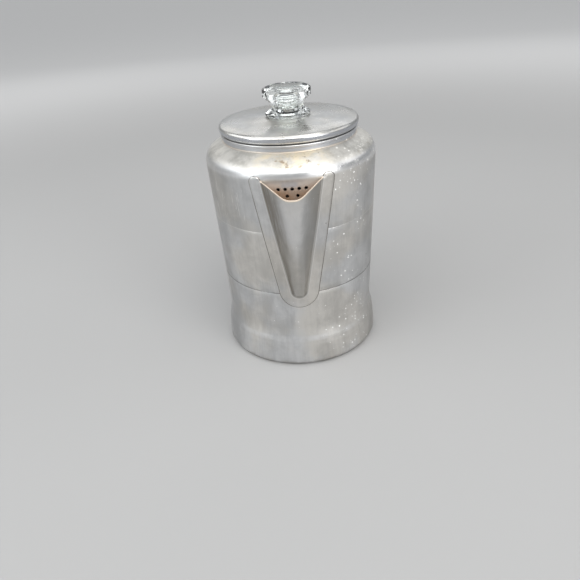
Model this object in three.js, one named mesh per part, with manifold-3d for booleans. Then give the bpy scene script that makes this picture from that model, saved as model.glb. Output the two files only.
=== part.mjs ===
// Stove-top coffee percolator: a drawn aluminium pot with a V-shaped spout, a lift-off lid with a
// twist-in glass knob, the pump stem with its basket and spreader inside, and a riveted back handle.
// Millimetres, +Z up. The origin is the centre of the flat underside; the spout points along -Y.

import * as THREE from 'three';
import { mergeVertices } from 'three/addons/utils/BufferGeometryUtils.js';
import Module from 'manifold-3d';

const wasm = await Module();
wasm.setup();

// ---------------------------------------------------------------- driving dimensions

const GAP = 0.3;                 // clearance between pieces that touch
const SHEET = 1.2;               // drawn aluminium sheet

const FLOOR_FLAT_RADIUS = 74;    // flat underside
const FOOT_RADIUS = 79.1;        // the foot flares out below the wall
const WAIST_RADIUS = 74.4;       // narrowest part of the wall
const WAIST_Z = 41;
const WALL_TOP_RADIUS = 80;      // widest part, where the shoulder starts
const WALL_TOP_Z = 194;
const SHOULDER_CURVE = 14;       // radius of the shoulder's bend
const SHOULDER_TURN = 63;        // degrees of bend before the shoulder runs straight to the neck
const NECK_RADIUS = 61.9;        // outside of the neck
const NECK_FOOT_Z = 211.8;
const RIM_RADIUS = 63.3;         // rolled rim at the neck's top
const RIM_Z = 218.1;
const MOUTH_RADIUS = 60.4;       // inside of the neck

const SPOUT_TIP_Z = 78.7;        // bottom of the pouring trough
const SPOUT_TOP_Z = 193.5;       // where the trough's edges meet the wall
const SPOUT_LIP_Z = 186.5;       // the lip's lowest point, at its front
const SPOUT_TROUGH_HALF = 26;    // half width of the trough at the top
const SPOUT_REACH = 26;          // how far the lip stands out from the wall
const SPOUT_FLANGE = 11;         // width of the flat flange around the trough
const SPOUT_TIP_REACH = 2.6;     // how far the trough already stands out just above its tip
const SPOUT_NOSE_HALF = 6;       // half width of the trough's blunt front
const STRAINER_TOP_Z = 186.3;    // highest row of holes behind the spout

const LID_RADIUS = 64.7;
const LID_SKIRT_RADIUS = 59.4;   // skirt that plugs the mouth
const LID_SKIRT_FOOT_Z = 205;
const LID_TOP_Z = 228.8;         // lid's flat centre
const LID_SHEET = 1.0;
const LID_HOLE_RADIUS = 11.4;
const LID_SEAT_RADIUS = 23;      // flat seat under the knob's flange
const LUG_REACH = 2.0;           // how far the knob's lugs stand out past the lid's hole

const KNOB_HEAD_RADIUS = 22.0;   // to the corners of the eight-sided head
const KNOB_TOP_Z = 254;
const KNOB_WAIST_RADIUS = 14.4;
const KNOB_FLANGE_RADIUS = 20.8;
const KNOB_BORE_RADIUS = 8.2;

const STEM_OUTER = 4.75;         // pump tube
const STEM_INNER = 3.8;
const STEM_FOOT_Z = 7;
const STEM_FLANGE_Z = 7.9;       // top of the small flange at the tube's foot
const STEM_TOP_Z = 229;
const BELL_RADIUS = 33;          // domed foot of the pump

const BASKET_RADIUS = 54;
const BASKET_FLOOR_Z = 128;
const BASKET_RIM_Z = 188;
const SPREADER_RADIUS = 56.5;

const HANDLE_WIDTH = 24;
const GRIP_INNER_Y = 113;        // face of the grip towards the pot
const GRIP_OUTER_Y = 132;
const GRIP_FOOT_Z = 88;
const GRIP_TOP_Z = 203;
const BRACKET_ZS = { upper: 182, lower: 106 };
const RIVET_RADIUS = 1.7;
const RIVET_SPREAD = 9;          // each bracket's two rivets sit this far above and below its arm
const SCREW_RADIUS = 2.0;

const SIDES = { pot: 48, lid: 40, basket: 32, small: 20, tube: 12, hole: 8 };

// ---------------------------------------------------------------- materials

const metal = (name, color, roughness) =>
  new THREE.MeshStandardMaterial({ name, color, roughness, metalness: 1 });

const FINISH = {
  body: () => metal('aged_aluminium', 0xb4b1aa, 0.42),
  lid: () => metal('lid_aluminium', 0xbab8b2, 0.38),
  inner: () => metal('inner_aluminium', 0xa8a39a, 0.5),
  steel: () => metal('plated_steel', 0xb9bbbd, 0.3),
  glass: () => new THREE.MeshStandardMaterial({
    name: 'clear_glass', color: 0xdfe8e4, roughness: 0.05, metalness: 0, transparent: true, opacity: 0.35,
  }),
  phenolic: () => new THREE.MeshStandardMaterial({
    name: 'black_phenolic', color: 0x17161a, roughness: 0.38, metalness: 0,
  }),
};

// ---------------------------------------------------------------- solids and booleans

const radians = THREE.MathUtils.degToRad;

/** Turns a closed three.js geometry into a manifold solid. */
function solid(geometry) {
  const bare = (geometry.index ? geometry.toNonIndexed() : geometry.clone());
  for (const name of Object.keys(bare.attributes)) {
    if (name !== 'position') bare.deleteAttribute(name);
  }
  const merged = mergeVertices(bare, 1e-4);
  const corners = merged.index.array;
  const triVerts = [];
  for (let i = 0; i < corners.length; i += 3) {
    const [a, b, c] = corners.slice(i, i + 3);
    if (a !== b && b !== c && c !== a) triVerts.push(a, b, c);
  }
  const vertProperties = new Float32Array(merged.attributes.position.array);
  const mesh = new wasm.Mesh({ numProp: 3, vertProperties, triVerts: new Uint32Array(triVerts) });
  return new wasm.Manifold(mesh);
}

/** Turns a manifold solid back into a three.js geometry. */
function geometryOf(body) {
  const mesh = body.getMesh();
  const geometry = new THREE.BufferGeometry();
  geometry.setAttribute('position', new THREE.BufferAttribute(new Float32Array(mesh.vertProperties), 3));
  geometry.setIndex(new THREE.BufferAttribute(new Uint32Array(mesh.triVerts), 1));
  geometry.computeVertexNormals();
  return geometry;
}

/** Revolves a profile of [radius, z] points, listed up the outside and back down the inside. */
function turned(profile, sides) {
  const points = profile.map(([r, z]) => new THREE.Vector2(r, z));
  return solid(new THREE.LatheGeometry(points, sides).rotateX(Math.PI / 2));
}

/** A ring whose profile closes on itself. */
const ring = (profile, sides) => turned([...profile, profile[0]], sides);

/** A straight rod between two points, with its own number of sides. */
function rod(from, to, radius, sides = SIDES.hole) {
  const start = new THREE.Vector3(...from);
  const along = new THREE.Vector3(...to).sub(start);
  const shape = new THREE.CylinderGeometry(radius, radius, along.length(), sides);
  const turn = new THREE.Quaternion().setFromUnitVectors(
    new THREE.Vector3(0, 1, 0), along.clone().normalize());
  shape.applyQuaternion(turn);
  shape.translate(...start.addScaledVector(along, 0.5).toArray());
  return solid(shape);
}

/** A box given by its lowest and highest corners. */
function block(low, high) {
  const size = high.map((value, i) => value - low[i]);
  const shape = new THREE.BoxGeometry(...size);
  shape.translate(...low.map((value, i) => value + size[i] / 2));
  return solid(shape);
}

const union = (first, ...rest) => rest.reduce((sum, next) => sum.add(next), first);
const cut = (first, ...rest) => rest.reduce((left, next) => left.subtract(next), first);

/** Points of an arc in a profile, from one angle to another, in degrees. */
function arc(centreR, centreZ, radius, fromDeg, toDeg, steps) {
  return Array.from({ length: steps + 1 }, (_, i) => {
    const angle = radians(fromDeg + (toDeg - fromDeg) * i / steps);
    return [centreR + radius * Math.cos(angle), centreZ + radius * Math.sin(angle)];
  });
}

// ---------------------------------------------------------------- pot

/** Outside radius of the pot's straight, slightly flared wall at a height. */
function wallRadius(z) {
  const share = (z - WAIST_Z) / (WALL_TOP_Z - WAIST_Z);
  return WAIST_RADIUS + (WALL_TOP_RADIUS - WAIST_RADIUS) * share;
}

/** The pot's outline from the rim of the flat underside up to the foot of the neck, inset by a wall. */
function potOutline(inset) {
  const foot = [
    [FLOOR_FLAT_RADIUS, inset],
    [FOOT_RADIUS - 1.6 - inset, Math.max(1.5, inset)],
    [FOOT_RADIUS - inset, 4.5],
    [FOOT_RADIUS - 0.5 - inset, 14],
    [FOOT_RADIUS - 1.9 - inset, 28],
    [WAIST_RADIUS + 2.0 - inset, 33],
    [WAIST_RADIUS - inset, WAIST_Z],
  ];
  const shoulder = arc(WALL_TOP_RADIUS - SHOULDER_CURVE, WALL_TOP_Z, SHOULDER_CURVE - inset,
    0, SHOULDER_TURN, 5);
  return [...foot, ...shoulder];
}

/** Positions of the strainer holes in the wall behind the spout, as [arc length, z]. */
function strainerHoles() {
  const holes = [];
  const rows = [[5, 5.9], [2, 9], [3, 5.9], [2, 6]];
  rows.forEach(([count, pitch], row) => {
    const z = STRAINER_TOP_Z - 6.1 * row;
    for (let i = 0; i < count; i += 1) holes.push([(i - (count - 1) / 2) * pitch, z]);
  });
  return holes;
}

function potBody() {
  const neck = [
    [NECK_RADIUS, NECK_FOOT_Z],
    [NECK_RADIUS, RIM_Z - 3],
    [RIM_RADIUS, RIM_Z - 1.8],
    [RIM_RADIUS - 0.3, RIM_Z - 0.4],
    [RIM_RADIUS - 1.2, RIM_Z],
    [MOUTH_RADIUS + 0.2, RIM_Z],
    [MOUTH_RADIUS, RIM_Z - 0.8],
    [MOUTH_RADIUS, NECK_FOOT_Z - 1],
  ];
  const inside = potOutline(SHEET).reverse();
  const shell = turned([[0, 0], ...potOutline(0), ...neck, ...inside, [0, SHEET]], SIDES.pot);
  const strainer = strainerHoles().map(([along, z]) => {
    const angle = along / wallRadius(z);
    const out = [Math.sin(angle), -Math.cos(angle)];
    return rod([out[0] * 70, out[1] * 70, z], [out[0] * 90, out[1] * 90, z], 1.5);
  });
  const rivetHoles = rivetHeights().map((z) => rod([0, 70, z], [0, 90, z], RIVET_RADIUS + GAP));
  return cut(shell, ...strainer, ...rivetHoles);
}

// ---------------------------------------------------------------- spout

/** Half of the trough's edge: from its tip (0) to where it meets the wall at the top (1). */
function troughEdge(share) {
  const tipRadius = 7;
  const straightStart = SPOUT_TIP_Z + tipRadius * 0.8;
  if (share < 0.25) {
    const angle = radians(80) * (share / 0.25);
    return [tipRadius * Math.sin(angle), SPOUT_TIP_Z + tipRadius * (1 - Math.cos(angle))];
  }
  const t = (share - 0.25) / 0.75;
  const z = straightStart + (SPOUT_TOP_Z - straightStart) * t;
  const bulge = 0.6 * Math.sin(Math.PI * t);
  return [tipRadius * 0.985 + (SPOUT_TROUGH_HALF - tipRadius * 0.985) * t ** 1.07 + bulge, z];
}

/** The flange's outer edge beside the same share of the trough's edge. */
function flangeEdge(share) {
  const [x, z] = troughEdge(share);
  const before = troughEdge(Math.max(0, share - 0.02));
  const after = troughEdge(Math.min(1, share + 0.02));
  const length = Math.hypot(after[0] - before[0], after[1] - before[1]);
  const outward = share === 0 ? [0, -1] : [(after[1] - before[1]) / length, (before[0] - after[0]) / length];
  return [x + outward[0] * SPOUT_FLANGE, z + outward[1] * SPOUT_FLANGE];
}

/** Height across the trough: 0 at its edges (u = -1 and 1), 1 over its blunt front, rounded between. */
function troughCrest(u, nose) {
  const slope = (1 - Math.abs(u)) / (1 - nose);
  const blend = 0.22;
  if (slope <= 1 - blend) return slope;
  return slope >= 1 + blend ? 1 : 1 - (1 + blend - slope) ** 2 / (4 * blend);
}

/** One skin of the spout, lifted off the wall: its points by name and the triangles between them. */
function spoutSkin(lift, noseLift) {
  const steps = 12;
  const across = 7;
  const points = [];
  const onWall = (arcLength, z) => {
    const radius = wallRadius(Math.min(z, WALL_TOP_Z)) + lift;
    const angle = arcLength / radius;
    return points.push([radius * Math.sin(angle), -radius * Math.cos(angle), z]) - 1;
  };
  const rows = [];
  for (let i = 0; i <= steps; i += 1) {
    const share = i / steps;
    const [half, edgeZ] = troughEdge(share);
    const [flangeHalf, flangeZ] = flangeEdge(share);
    const flange = (side) => [1, 0.5].map((k) => onWall(
      side * (half + (flangeHalf - half) * k), edgeZ + (flangeZ - edgeZ) * k));
    const left = flange(-1);
    const right = i === 0 ? left : flange(1);
    if (i === 0) {
      rows.push({ left, right, trough: [onWall(0, edgeZ)] });
      continue;
    }
    const rise = (edgeZ - SPOUT_TIP_Z) / (SPOUT_TOP_Z - SPOUT_TIP_Z);
    const noseZ = SPOUT_TIP_Z + (SPOUT_LIP_Z - SPOUT_TIP_Z) * rise;
    const radius = wallRadius(edgeZ) + lift;
    const edgeX = radius * Math.sin(half / radius);
    const edgeY = radius * Math.cos(half / radius);
    const step = SPOUT_TIP_REACH * Math.sqrt(Math.min(1, rise / 0.035));
    const reach = step + (SPOUT_REACH - SPOUT_TIP_REACH) * rise;
    const noseY = wallRadius(noseZ) + lift + reach - noseLift;
    const trough = [];
    for (let j = 0; j <= 2 * across; j += 1) {
      const u = j / across - 1;
      const crest = troughCrest(u, Math.min(0.6, SPOUT_NOSE_HALF / half));
      points.push([edgeX * u, -(edgeY + (noseY - edgeY) * crest), edgeZ + (noseZ - edgeZ) * crest]);
      trough.push(points.length - 1);
    }
    rows.push({ left, right, trough });
  }
  const triangles = [];
  const strip = (near, far) => {
    for (let j = 0; j + 1 < near.length; j += 1) {
      triangles.push([near[j], near[j + 1], far[j + 1]], [near[j], far[j + 1], far[j]]);
    }
  };
  for (let i = 0; i < steps; i += 1) {
    const low = rows[i];
    const high = rows[i + 1];
    const lowLeft = [...low.left, low.trough[0]];
    const lowRight = [low.trough.at(-1), ...[...low.right].reverse()];
    strip(lowLeft, [...high.left, high.trough[0]]);
    strip(lowRight, [high.trough.at(-1), ...[...high.right].reverse()]);
    if (i > 0) strip(low.trough, high.trough);
  }
  const tip = rows[0].trough[0];
  const first = rows[1].trough;
  for (let j = 0; j + 1 < first.length; j += 1) triangles.push([tip, first[j + 1], first[j]]);
  const top = rows.at(-1);
  const border = [
    ...rows.map((row) => row.right[0]),
    top.right[1], ...[...top.trough].reverse(), top.left[1],
    ...rows.slice(1).reverse().map((row) => row.left[0]),
  ];
  return { points, triangles, border };
}

function spout() {
  const outer = spoutSkin(GAP + SHEET, 0);
  const inner = spoutSkin(GAP, 0.4);
  const offset = outer.points.length;
  const triangles = [...outer.triangles];
  for (const [a, b, c] of inner.triangles) triangles.push([a + offset, c + offset, b + offset]);
  outer.border.forEach((a, i) => {
    const b = outer.border[(i + 1) % outer.border.length];
    triangles.push([a, a + offset, b + offset], [a, b + offset, b]);
  });
  const geometry = new THREE.BufferGeometry();
  const positions = [...outer.points, ...inner.points].flat();
  geometry.setAttribute('position', new THREE.Float32BufferAttribute(positions, 3));
  geometry.setIndex(triangles.flat());
  return solid(geometry);
}

// ---------------------------------------------------------------- lid and knob

function lid() {
  const under = LID_TOP_Z - LID_SHEET;
  const sheet = ring([
    [LID_SKIRT_RADIUS - 0.9, LID_SKIRT_FOOT_Z],
    [LID_SKIRT_RADIUS, LID_SKIRT_FOOT_Z],
    [LID_SKIRT_RADIUS, 224.6],
    [61.2, 225.0],
    [62.8, 224.2],
    [63.5, 222.6],
    [62.6, 220.2],
    [61.2, 219.3],
    [61.2, 218.5],
    [62.7, 218.7],
    [63.9, 220.2],
    [LID_RADIUS, 222.9],
    [64.2, 224.7],
    [62.4, 226.0],
    [58.5, 226.9],
    [45, 228.0],
    [LID_SEAT_RADIUS, LID_TOP_Z],
    [LID_HOLE_RADIUS, LID_TOP_Z],
    [LID_HOLE_RADIUS, under],
    [LID_SEAT_RADIUS, under],
    [45, 227.0],
    [LID_SKIRT_RADIUS - 0.9, 225.8],
  ], SIDES.lid);
  const reach = LID_HOLE_RADIUS + LUG_REACH;
  const notch = block([-reach, -4.4, under - 1], [reach, 4.4, LID_TOP_Z + 1]);
  return cut(sheet, notch);
}

function glassKnob() {
  const flangeFoot = LID_TOP_Z + GAP;
  const base = turned([
    [0, 222],
    [LID_HOLE_RADIUS - 1.6, 222],
    [LID_HOLE_RADIUS - 0.6, 223],
    [LID_HOLE_RADIUS - 0.6, flangeFoot],
    [KNOB_FLANGE_RADIUS - 0.8, flangeFoot],
    [KNOB_FLANGE_RADIUS, flangeFoot + 1.2],
    [KNOB_FLANGE_RADIUS - 0.4, flangeFoot + 3.2],
    [KNOB_WAIST_RADIUS + 2, 234.6],
    [KNOB_WAIST_RADIUS, 236.8],
    [KNOB_WAIST_RADIUS + 0.4, 240],
    [0, 240],
  ], SIDES.small);
  const head = turned([
    [0, 238],
    [KNOB_WAIST_RADIUS + 0.6, 238],
    [KNOB_WAIST_RADIUS + 1.6, 240],
    [KNOB_HEAD_RADIUS, 246],
    [KNOB_HEAD_RADIUS, KNOB_TOP_Z - 1.6],
    [KNOB_HEAD_RADIUS - 1.8, KNOB_TOP_Z],
    [0, KNOB_TOP_Z],
  ], 8);
  const cavity = turned([
    [0, 221],
    [KNOB_BORE_RADIUS, 221],
    [KNOB_BORE_RADIUS, 240],
    [KNOB_BORE_RADIUS + 2.2, 243],
    [KNOB_BORE_RADIUS + 2.2, 247],
    [KNOB_BORE_RADIUS - 1, 249],
    [0, 249.4],
  ], SIDES.tube);
  const lugTop = LID_TOP_Z - LID_SHEET - GAP;
  const reach = LID_HOLE_RADIUS + LUG_REACH - 0.4;
  const lugs = block([-3.4, -reach, lugTop - 3], [3.4, reach, lugTop]);
  return cut(union(base, head, lugs), cavity);
}

// ---------------------------------------------------------------- pump stem

/** Pump tube, with a small flange at its foot that keeps the valve washer on. */
function stemTube() {
  return ring([
    [STEM_INNER, STEM_FOOT_Z],
    [6.6, STEM_FOOT_Z],
    [6.6, STEM_FLANGE_Z],
    [STEM_OUTER, STEM_FLANGE_Z],
    [STEM_OUTER, STEM_TOP_Z - 0.4],
    [STEM_OUTER - 0.3, STEM_TOP_Z],
    [STEM_INNER + 0.2, STEM_TOP_Z],
    [STEM_INNER, STEM_TOP_Z - 0.4],
  ], SIDES.tube);
}

/** Domed foot that gathers steam bubbles; its collar grips the tube. */
function stemBell() {
  const foot = SHEET + GAP;
  const collar = STEM_OUTER + GAP;
  const shell = ring([
    [BELL_RADIUS - 1, foot],
    [BELL_RADIUS, foot],
    [BELL_RADIUS - 0.4, foot + 6],
    [BELL_RADIUS - 5, foot + 11],
    [18, foot + 14.5],
    [8.4, foot + 16],
    [7.2, foot + 17.5],
    [6.4, foot + 28],
    [collar, foot + 28],
    [collar, foot + 16.4],
    [7.4, foot + 15],
    [17.6, foot + 13.5],
    [BELL_RADIUS - 5.6, foot + 10.2],
    [BELL_RADIUS - 1.4, foot + 5.6],
  ], SIDES.small);
  const inlets = [45, 135, 225, 315].map((deg) => {
    const out = [Math.cos(radians(deg)), Math.sin(radians(deg))];
    return rod([out[0] * 26, out[1] * 26, foot], [out[0] * 38, out[1] * 38, foot], 2.6);
  });
  return cut(shell, ...inlets);
}

/** Loose washer that slides on the tube inside the bell, from the tube's flange up to the dome. */
function valveWasher() {
  const foot = STEM_FLANGE_Z + GAP;
  return ring([[5.2, foot], [12, foot], [12, foot + 0.8], [5.2, foot + 0.8]], SIDES.small);
}

/** Collar pressed on the stem, which the basket stands on. */
function basketStop() {
  const top = BASKET_FLOOR_Z - GAP;
  const bore = STEM_OUTER + GAP;
  return ring([[bore, top - 5], [7.2, top - 5], [9.2, top - 2.2], [9.2, top], [bore, top]], SIDES.small);
}

// ---------------------------------------------------------------- basket and spreader

/** Small round holes through a level sheet, in rings. */
function perforations(rings, low, high, radius) {
  return rings.flatMap(([ringRadius, count]) => Array.from({ length: count }, (_, i) => {
    const angle = 2 * Math.PI * (i + 0.5) / count;
    const at = [ringRadius * Math.cos(angle), ringRadius * Math.sin(angle)];
    return rod([...at, low], [...at, high], radius, 6);
  }));
}

function basket() {
  const sheet = 0.9;
  const shell = ring([
    [6.9, BASKET_FLOOR_Z],
    [BASKET_RADIUS - 3, BASKET_FLOOR_Z],
    [BASKET_RADIUS - 0.8, BASKET_FLOOR_Z + 1],
    [BASKET_RADIUS, BASKET_FLOOR_Z + 3],
    [BASKET_RADIUS, BASKET_RIM_Z - 1.4],
    [BASKET_RADIUS + 2.6, BASKET_RIM_Z - 0.9],
    [BASKET_RADIUS + 2.6, BASKET_RIM_Z],
    [BASKET_RADIUS - sheet, BASKET_RIM_Z],
    [BASKET_RADIUS - sheet, BASKET_FLOOR_Z + 3.2],
    [BASKET_RADIUS - 3.2, BASKET_FLOOR_Z + sheet],
    [6.9, BASKET_FLOOR_Z + sheet],
  ], SIDES.basket);
  const holes = perforations([[16, 8], [27, 12], [38, 16]], BASKET_FLOOR_Z - 1, BASKET_FLOOR_Z + 2, 1.3);
  return cut(shell, ...holes);
}

/** Centre sleeve of the basket, flanged at its foot, which slides down over the stem. */
function basketSleeve() {
  const bore = STEM_OUTER + GAP;
  const seat = BASKET_FLOOR_Z + 0.9 + GAP;
  return ring([
    [bore, BASKET_FLOOR_Z],
    [6.5, BASKET_FLOOR_Z],
    [6.5, seat],
    [9, seat],
    [9, seat + 0.8],
    [6.1, seat + 1.6],
    [6.1, BASKET_RIM_Z - 2],
    [bore, BASKET_RIM_Z - 2],
  ], SIDES.small);
}

/** Perforated cover that spreads the water over the grounds. */
function spreader() {
  const rest = BASKET_RIM_Z + GAP;
  const bore = STEM_OUTER + GAP;
  const plate = ring([
    [bore, rest + 3.4],
    [16, rest + 1.4],
    [50, rest + 0.2],
    [54.8, rest],
    [SPREADER_RADIUS, rest],
    [SPREADER_RADIUS, rest + 2.8],
    [SPREADER_RADIUS - 0.9, rest + 2.8],
    [SPREADER_RADIUS - 1.3, rest + 1],
    [50, rest + 1.1],
    [16, rest + 2.3],
    [8.6, rest + 3.7],
    [7, rest + 8],
    [bore, rest + 8],
  ], SIDES.basket);
  const holes = perforations([[24, 12], [38, 18]], rest - 1, rest + 4, 1.2);
  return cut(plate, ...holes);
}

// ---------------------------------------------------------------- handle

/** Heights of every rivet: two for each bracket. */
function rivetHeights() {
  return Object.values(BRACKET_ZS).flatMap((z) => [z + RIVET_SPREAD, z - RIVET_SPREAD]);
}

/** Metal bracket: a curved pad riveted to the wall, an arm, and a tab behind the grip. */
function handleBracket(z) {
  const padRadius = wallRadius(z + RIVET_SPREAD + 6) + GAP;
  const thick = 2;
  const tabFace = GRIP_INNER_Y - GAP;
  const padRing = ring([
    [padRadius, z - RIVET_SPREAD - 5],
    [padRadius + thick, z - RIVET_SPREAD - 5],
    [padRadius + thick, z + RIVET_SPREAD + 5],
    [padRadius, z + RIVET_SPREAD + 5],
  ], SIDES.pot);
  const pad = padRing.intersect(block([-9, 60, z - 30], [9, 100, z + 30]));
  const arm = block([-6, padRadius + 0.6, z - 1.5], [6, tabFace - 1, z + 1.5]);
  const tab = block([-8, tabFace - 2.6, z - 8], [8, tabFace, z + 8]);
  const screwHole = rod([0, 100, z + 4], [0, 120, z + 4], SCREW_RADIUS + GAP);
  const rivetHoles = [-1, 1].map((side) => {
    const at = z + side * RIVET_SPREAD;
    return rod([0, 70, at], [0, 95, at], RIVET_RADIUS + GAP);
  });
  return cut(union(pad, arm, tab), screwHole, ...rivetHoles);
}

/** Round-edged moulded grip, deeper in its middle, with a hole and a head pocket for each screw. */
function handleGrip() {
  const bevel = 4;
  const outline = new THREE.Shape();
  outline.moveTo(GRIP_INNER_Y + bevel, GRIP_FOOT_Z + bevel);
  outline.lineTo(GRIP_OUTER_Y - bevel - 6, GRIP_FOOT_Z + bevel);
  outline.quadraticCurveTo(GRIP_OUTER_Y - bevel, GRIP_FOOT_Z + bevel, GRIP_OUTER_Y - bevel, GRIP_FOOT_Z + 26);
  outline.lineTo(GRIP_OUTER_Y - bevel, GRIP_TOP_Z - 22);
  outline.quadraticCurveTo(GRIP_OUTER_Y - bevel, GRIP_TOP_Z - bevel, GRIP_INNER_Y + bevel, GRIP_TOP_Z - bevel);
  const body = new THREE.ExtrudeGeometry(outline, {
    depth: HANDLE_WIDTH - 2 * bevel,
    bevelEnabled: true,
    bevelThickness: bevel,
    bevelSize: bevel,
    bevelSegments: 3,
    curveSegments: 6,
  });
  body.translate(0, 0, -HANDLE_WIDTH / 2 + bevel);
  const upright = new THREE.Matrix4().makeBasis(
    new THREE.Vector3(0, 1, 0), new THREE.Vector3(0, 0, 1), new THREE.Vector3(1, 0, 0));
  body.applyMatrix4(upright);
  const holes = Object.values(BRACKET_ZS).flatMap((z) => [
    rod([0, 105, z + 4], [0, 140, z + 4], SCREW_RADIUS + GAP),
    rod([0, GRIP_OUTER_Y - 3, z + 4], [0, 140, z + 4], 4.2, SIDES.tube),
  ]);
  return cut(solid(body), ...holes);
}

/** Round-headed screw through the grip into its bracket's tab, lying along Y. */
function handleScrew(z) {
  const head = GRIP_OUTER_Y - 3 + GAP;
  const tip = GRIP_INNER_Y - 4.5;
  const profile = [[0, tip], [SCREW_RADIUS, tip], [SCREW_RADIUS, head], [3.8, head],
    [3.4, head + 1.4], [0, head + 2.3]];
  const points = profile.map(([r, y]) => new THREE.Vector2(r, y));
  const body = new THREE.LatheGeometry(points, SIDES.hole);
  body.translate(0, 0, z + 4);
  return solid(body);
}

/** Rivet through the pot's wall and a bracket's pad, lying along Y. */
function rivet(z) {
  const bracketZ = Object.values(BRACKET_ZS).find((level) => Math.abs(level - z) < RIVET_SPREAD + 1);
  const outside = wallRadius(bracketZ + RIVET_SPREAD + 6) + GAP + 2 + GAP;
  const inside = wallRadius(z) - SHEET - GAP - 0.2;
  const profile = [[0, inside - 1.4], [2.4, inside - 1.2], [3.2, inside], [RIVET_RADIUS, inside],
    [RIVET_RADIUS, outside], [3.4, outside], [2.6, outside + 1.5], [0, outside + 2]];
  const points = profile.map(([r, y]) => new THREE.Vector2(r, y));
  const body = new THREE.LatheGeometry(points, SIDES.hole);
  body.translate(0, 0, z);
  return solid(body);
}

// ---------------------------------------------------------------- assembly

const percolator = new THREE.Group();
percolator.name = 'coffee_percolator';

function place(name, body, material) {
  const mesh = new THREE.Mesh(geometryOf(body), material);
  mesh.name = name;
  percolator.add(mesh);
}

place('pot_body', potBody(), FINISH.body());
place('spout', spout(), FINISH.body());
place('lid', lid(), FINISH.lid());
place('glass_knob', glassKnob(), FINISH.glass());
place('stem_tube', stemTube(), FINISH.inner());
place('stem_bell', stemBell(), FINISH.inner());
place('valve_washer', valveWasher(), FINISH.inner());
place('basket_stop', basketStop(), FINISH.inner());
place('basket', basket(), FINISH.inner());
place('basket_sleeve', basketSleeve(), FINISH.inner());
place('spreader', spreader(), FINISH.inner());
place('handle_grip', handleGrip(), FINISH.phenolic());
for (const [level, z] of Object.entries(BRACKET_ZS)) {
  place(`handle_bracket_${level}`, handleBracket(z), FINISH.steel());
  place(`handle_screw_${level}`, handleScrew(z), FINISH.steel());
  place(`rivet_${level}_top`, rivet(z + RIVET_SPREAD), FINISH.inner());
  place(`rivet_${level}_bottom`, rivet(z - RIVET_SPREAD), FINISH.inner());
}

export default percolator;
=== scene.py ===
"""Looks of the coffee percolator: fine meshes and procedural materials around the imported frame."""

from math import atan2, copysign, cos, hypot, pi, radians, sin, sqrt, tan

import bmesh
import bpy
import numpy as np
from mathutils import Matrix, Vector


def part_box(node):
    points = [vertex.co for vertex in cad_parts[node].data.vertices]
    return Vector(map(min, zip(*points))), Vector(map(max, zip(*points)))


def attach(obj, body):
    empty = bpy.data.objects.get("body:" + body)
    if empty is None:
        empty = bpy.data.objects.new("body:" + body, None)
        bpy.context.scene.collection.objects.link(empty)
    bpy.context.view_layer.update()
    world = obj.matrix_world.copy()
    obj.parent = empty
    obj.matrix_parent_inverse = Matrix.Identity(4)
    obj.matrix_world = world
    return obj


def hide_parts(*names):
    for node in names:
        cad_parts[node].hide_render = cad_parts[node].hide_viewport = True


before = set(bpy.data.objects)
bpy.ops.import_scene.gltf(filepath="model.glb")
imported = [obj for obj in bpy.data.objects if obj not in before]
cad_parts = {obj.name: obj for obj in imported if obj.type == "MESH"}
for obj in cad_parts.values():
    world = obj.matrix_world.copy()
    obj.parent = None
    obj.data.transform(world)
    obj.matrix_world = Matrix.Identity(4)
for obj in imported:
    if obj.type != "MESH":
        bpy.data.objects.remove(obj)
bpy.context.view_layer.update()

# ---------------------------------------------------------------- dimensions, in millimetres

MM = 0.001


def corners_mm(node):
    """Lowest and highest corner of a CAD node in millimetres."""
    low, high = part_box(node)
    return low / MM, high / MM


def extent(node):
    """Foot, top and largest radius of a CAD node that stands on the pot's axis."""
    low, high = corners_mm(node)
    return low.z, high.z, high.x


def middle_z(node):
    foot, top, _ = extent(node)
    return (foot + top) / 2


_, RIM_Z, SHOULDER_R = extent("pot_body")
LID_FOOT, LID_TOP, LID_R = extent("lid")
SPOUT_LOW, _ = corners_mm("spout")

SHEET = 1.2
WALL_TOP_Z = RIM_Z - 24.1
WAIST_R = SHOULDER_R - 5.6
WAIST_Z = 41.0
FOOT_R = SHOULDER_R - 0.9
WALL_SLOPE = (SHOULDER_R - WAIST_R) / (WALL_TOP_Z - WAIST_Z)
NECK_R = SHOULDER_R - 18.1
MOUTH_R = NECK_R - 1.5
NECK_FOOT_Z = RIM_Z - 6.3
SCORE_RINGS = {"upper": RIM_Z - 73.1, "lower": RIM_Z - 135.7}

TROUGH_TIP_Z = SPOUT_LOW.z + 11.0
TROUGH_TOP_Z = RIM_Z - 24.6
LIP_Z = RIM_Z - 31.6
TROUGH_HALF = 26.0
FLANGE = 11.0
FLANGE_SHEET = 0.9
FLANGE_CAP = 5.0
SHOULDER_CURVE = 14.0
NOSE_HALF = 6.0

ROUND = 192


# ---------------------------------------------------------------- mesh helpers

def new_object(name, mesh):
    thing = bpy.data.objects.new(name, mesh)
    bpy.context.scene.collection.objects.link(thing)
    return thing


def raw_mesh(name, points_mm, faces):
    mesh = bpy.data.meshes.new(name)
    mesh.from_pydata([tuple(c * MM for c in p) for p in points_mm], [], faces)
    return mesh


def clean(mesh, dissolve=True):
    """Welds a mesh, drops its slivers if asked to, and turns its faces outwards."""
    form = bmesh.new()
    form.from_mesh(mesh)
    bmesh.ops.remove_doubles(form, verts=form.verts, dist=1e-7)
    if dissolve:
        bmesh.ops.dissolve_degenerate(form, edges=form.edges, dist=1e-8)
    bmesh.ops.recalc_face_normals(form, faces=form.faces)
    form.to_mesh(mesh)
    form.free()
    return mesh


def shade(thing, angle=32):
    """Smooth shading that breaks at edges sharper than the angle."""
    thing.data.shade_smooth()
    thing.data.set_sharp_from_angle(angle=radians(angle))
    return thing


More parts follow.
